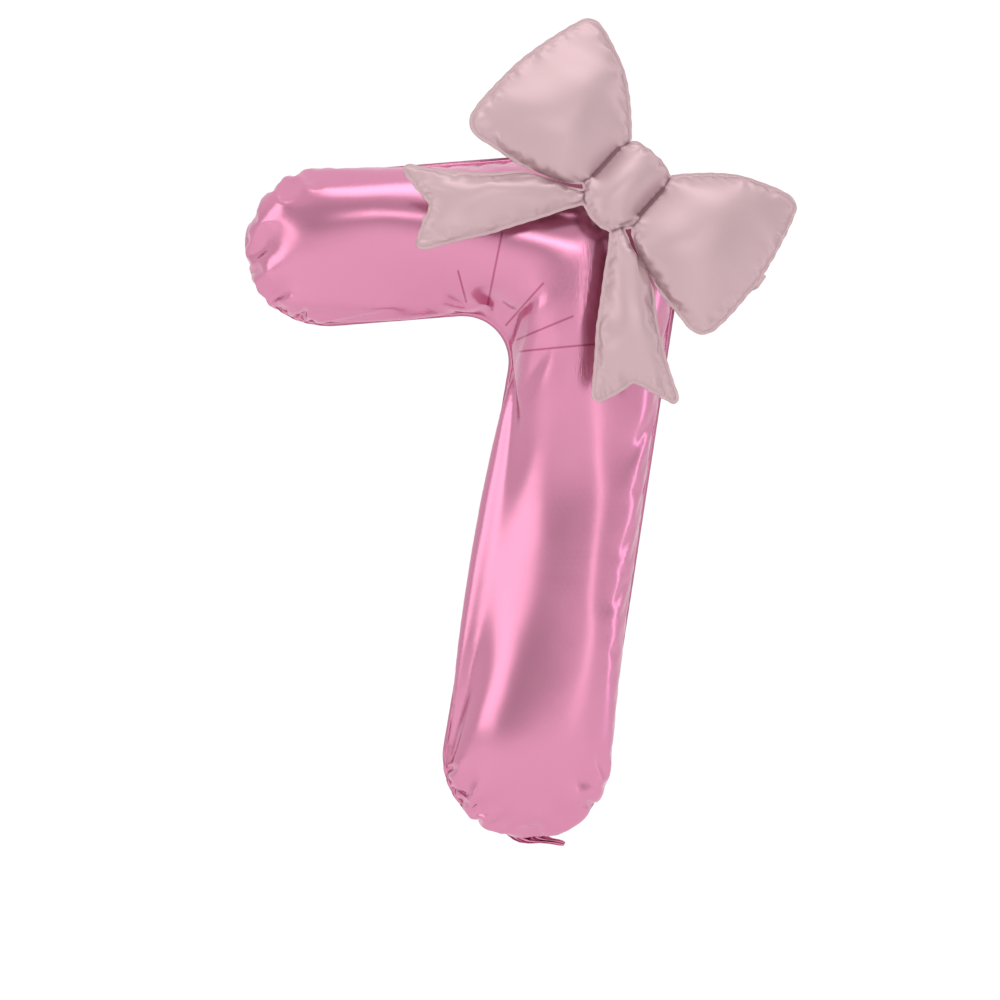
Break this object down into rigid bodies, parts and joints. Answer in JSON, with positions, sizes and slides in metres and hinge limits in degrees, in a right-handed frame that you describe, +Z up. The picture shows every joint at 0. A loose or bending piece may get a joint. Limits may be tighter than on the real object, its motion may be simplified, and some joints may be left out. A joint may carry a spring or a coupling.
{
  "type": "foil number balloon",
  "caption": "Inflated metallic foil balloon shaped like the numeral seven, with a puffy satin foil bow on its upper corner and a filler neck below.",
  "frame": {"origin": "lowest point of the number's weld, where the filler neck leaves it and a ribbon is tied", "axes": "+Z up, +X to the viewer's right as the number is read, front faces -Y"},
  "size_m": [0.6799, 0.258, 1.033],
  "materials": {
    "number_foil": "glossy metallised pink film",
    "bow_foil": "satin metallised dusty pink film",
    "valve_film": "clear soft film",
    "adhesive": "clear tacky gel"
  },
  "bodies": {
    "number": {"number_front_film": "number_foil", "number_back_film": "number_foil", "valve_front_film": "valve_film", "valve_back_film": "valve_film", "knot_front_film": "bow_foil", "knot_back_film": "bow_foil", "glue_dots": "adhesive"},
    "filler_neck": {"neck_front_film": "number_foil", "neck_back_film": "number_foil"},
    "upper_loop": {"upper_loop_front_film": "bow_foil", "upper_loop_back_film": "bow_foil"},
    "right_loop": {"right_loop_front_film": "bow_foil", "right_loop_back_film": "bow_foil", "bow_valve_front_film": "valve_film", "bow_valve_back_film": "valve_film"},
    "left_tail": {"left_tail_front_film": "bow_foil", "left_tail_back_film": "bow_foil"},
    "lower_tail": {"lower_tail_front_film": "bow_foil", "lower_tail_back_film": "bow_foil"},
    "bow_neck": {"bow_neck_front_film": "bow_foil", "bow_neck_back_film": "bow_foil"}
  },
  "joints": [
    {"name": "filler_neck_bend", "type": "hinge", "parent": "number", "child": "filler_neck", "pos_m": [0, 0, -0.0012], "axis": [1, 0, 0], "range_deg": [-70, 70], "stiffness_Nm_per_rad": 0.0005},
    {"name": "upper_loop_flex", "type": "hinge", "parent": "number", "child": "upper_loop", "pos_m": [0.10002, -0.102, 0.83881], "axis": [0.6558, 0.2079, 0.7258], "range_deg": [-4, 14], "stiffness_Nm_per_rad": 0.15},
    {"name": "right_loop_flex", "type": "hinge", "parent": "number", "child": "right_loop", "pos_m": [0.15538, -0.102, 0.78879], "axis": [-0.6558, -0.2079, -0.7258], "range_deg": [-4, 14], "stiffness_Nm_per_rad": 0.15},
    {"name": "left_tail_flex", "type": "hinge", "parent": "number", "child": "left_tail", "pos_m": [0.07298, -0.11264, 0.79575], "axis": [-0.0696, 0.1457, 0.9869], "range_deg": [0, 25], "stiffness_Nm_per_rad": 0.05},
    {"name": "lower_tail_flex", "type": "hinge", "parent": "number", "child": "lower_tail", "pos_m": [0.11378, -0.11317, 0.75558], "axis": [-0.983, -0.1555, -0.0976], "range_deg": [0, 25], "stiffness_Nm_per_rad": 0.05},
    {"name": "bow_neck_unfold", "type": "hinge", "parent": "right_loop", "child": "bow_neck", "pos_m": [0.29374, -0.09664, 0.68999], "axis": [-0.5633, -0.2064, -0.8], "range_deg": [0, 60], "stiffness_Nm_per_rad": 0.0005}
  ]
}
